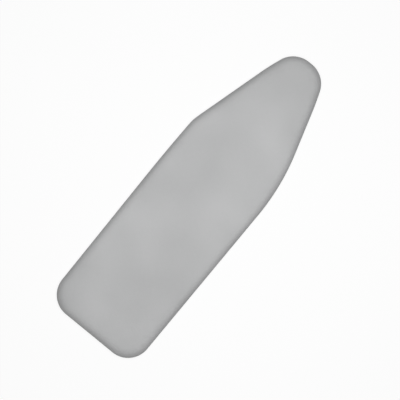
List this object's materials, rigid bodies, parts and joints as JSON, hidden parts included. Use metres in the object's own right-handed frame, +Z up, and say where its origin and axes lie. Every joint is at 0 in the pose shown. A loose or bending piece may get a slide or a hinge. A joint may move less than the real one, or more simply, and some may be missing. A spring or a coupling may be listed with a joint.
{
  "type": "ironing board cover",
  "caption": "Fitted padded ironing board cover: metallised cloth over foam and felt, drawn in under the board by a locked hem cord and hooked elastic straps.",
  "frame": {"origin": "middle of the footprint, on the floor under the hem binding", "axes": "+X along the cover to its nose, +Y to its left side, +Z up out of the ironing face"},
  "size_m": [1.21, 0.3882, 0.0361],
  "materials": {
    "metallised_cloth": "satin",
    "foam": "matte",
    "felt": "matte",
    "tape": "matte",
    "cord": "matte",
    "dark_plastic": "satin",
    "spring_steel": "satin",
    "elastic": "matte",
    "label_satin": "satin"
  },
  "bodies": {
    "cover": {"top_cover": "metallised_cloth", "foam_pad": "foam", "felt_pad": "felt", "hem_binding": "tape", "draw_cord": "cord", "cord_end": "dark_plastic", "care_label": "label_satin"},
    "cord_lock": {"cord_lock_body": "dark_plastic", "cord_lock_spring": "spring_steel"},
    "cord_lock_button": {"cord_lock_plunger": "dark_plastic"},
    "strap_tail": {"tension_strap_tail": "elastic"},
    "strap_mid": {"tension_strap_mid": "elastic"},
    "strap_nose": {"tension_strap_nose": "elastic"},
    "hook_tail": {"strap_hook_tail": "dark_plastic"},
    "hook_mid": {"strap_hook_mid": "dark_plastic"},
    "hook_nose": {"strap_hook_nose": "dark_plastic"}
  },
  "joints": [
    {"name": "cord_lock_slide", "type": "slide", "parent": "cover", "child": "cord_lock", "axis": [1, 0, 0], "range_m": [0, 0.024]},
    {"name": "cord_lock_press", "type": "slide", "parent": "cord_lock", "child": "cord_lock_button", "axis": [0, -1, 0], "range_m": [0, 0.003], "stiffness_N_per_m": 1500, "springref_m": -0.002, "deforming": ["cord_lock_spring"]},
    {"name": "strap_tail_swing", "type": "hinge", "parent": "cover", "child": "strap_tail", "pos_m": [-0.38, 0.12556, 0.0035], "axis": [1, 0, 0], "range_deg": [0, 100]},
    {"name": "hook_tail_pivot", "type": "hinge", "parent": "strap_tail", "child": "hook_tail", "pos_m": [-0.38, -0.10618, 0.0035], "axis": [1, 0, 0], "range_deg": [0, 60]},
    {"name": "strap_mid_swing", "type": "hinge", "parent": "cover", "child": "strap_mid", "pos_m": [-0.16334, 0.12725, 0.0035], "axis": [1, 0, 0], "range_deg": [0, 100]},
    {"name": "hook_mid_pivot", "type": "hinge", "parent": "strap_mid", "child": "hook_mid", "pos_m": [-0.16334, -0.10751, 0.0035], "axis": [1, 0, 0], "range_deg": [0, 60]},
    {"name": "strap_nose_swing", "type": "hinge", "parent": "cover", "child": "strap_nose", "pos_m": [0.05332, 0.12795, 0.0035], "axis": [1, 0, 0], "range_deg": [0, 100]},
    {"name": "hook_nose_pivot", "type": "hinge", "parent": "strap_nose", "child": "hook_nose", "pos_m": [0.05332, -0.10885, 0.0035], "axis": [1, 0, 0], "range_deg": [0, 60]}
  ]
}
